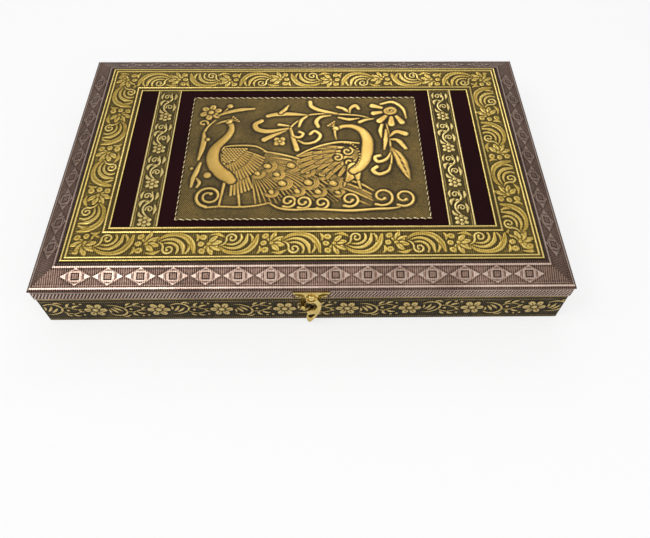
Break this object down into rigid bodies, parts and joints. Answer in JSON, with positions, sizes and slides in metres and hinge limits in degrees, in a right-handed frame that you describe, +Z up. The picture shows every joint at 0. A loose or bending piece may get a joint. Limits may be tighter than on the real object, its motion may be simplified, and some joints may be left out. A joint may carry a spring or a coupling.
{
  "type": "dry fruit box",
  "caption": "Flat hinged wooden box clad in embossed gold and copper sheet, with a divided tray, velvet inlay, peacock plaque and hook latch.",
  "frame": {"origin": "centre of the underside of the box, on the surface that it stands on", "axes": "+X to the right along the front, -Y out of the front where the latch is, +Z up"},
  "size_m": [0.38, 0.2575, 0.05],
  "materials": {
    "board": "plain fibreboard",
    "antique_sheet": "embossed, antique gold over dark lacquer",
    "copper_sheet": "embossed, coppered, darkened in the recesses",
    "gold_sheet": "embossed, gold, darkened in the recesses",
    "rope_edging": "bright twisted edging",
    "velvet": "maroon velvet",
    "brass": "polished"
  },
  "bodies": {
    "base": {"base_board": "board", "base_front_wall": "board", "base_back_wall": "board", "base_left_wall": "board", "base_right_wall": "board", "base_front_sheet": "antique_sheet", "base_back_sheet": "antique_sheet", "base_left_sheet": "antique_sheet", "base_right_sheet": "antique_sheet", "tray_floor_lining": "velvet", "tray_wall_lining": "velvet", "long_divider": "velvet", "left_cross_divider": "velvet", "right_cross_divider": "velvet", "keeper_peg": "brass", "left_hinge_base_leaf": "brass", "left_hinge_pin": "brass", "right_hinge_base_leaf": "brass", "right_hinge_pin": "brass", "base_hinge_nails": "brass"},
    "lid": {"lid_board": "board", "lid_lining": "velvet", "lid_rim_lining": "velvet", "lid_front_rail": "board", "lid_back_rail": "board", "lid_left_rail": "board", "lid_right_rail": "board", "lid_front_bevel": "board", "lid_back_bevel": "board", "lid_left_bevel": "board", "lid_right_bevel": "board", "copper_front_sheet": "copper_sheet", "copper_back_sheet": "copper_sheet", "copper_left_sheet": "copper_sheet", "copper_right_sheet": "copper_sheet", "border_front": "gold_sheet", "border_back": "gold_sheet", "border_left": "gold_sheet", "border_right": "gold_sheet", "velvet_inlay": "velvet", "left_gold_strip": "gold_sheet", "right_gold_strip": "gold_sheet", "peacock_plaque": "gold_sheet", "plaque_rope": "rope_edging", "left_hinge_lid_leaf": "brass", "right_hinge_lid_leaf": "brass", "lid_hinge_nails": "brass", "latch_plate": "brass", "latch_plate_nails": "brass", "hook_rivet": "brass"},
    "hook": {"swing_hook": "brass"}
  },
  "joints": [
    {"name": "lid_hinge", "type": "hinge", "parent": "base", "child": "lid", "pos_m": [0, 0.1264, 0.02975], "axis": [-1, 0, 0], "range_deg": [0, 110]},
    {"name": "hook_swing", "type": "hinge", "parent": "lid", "child": "hook", "pos_m": [0.0055, -0.1266, 0.0324], "axis": [0, -1, 0], "range_deg": [-18, 100]}
  ]
}
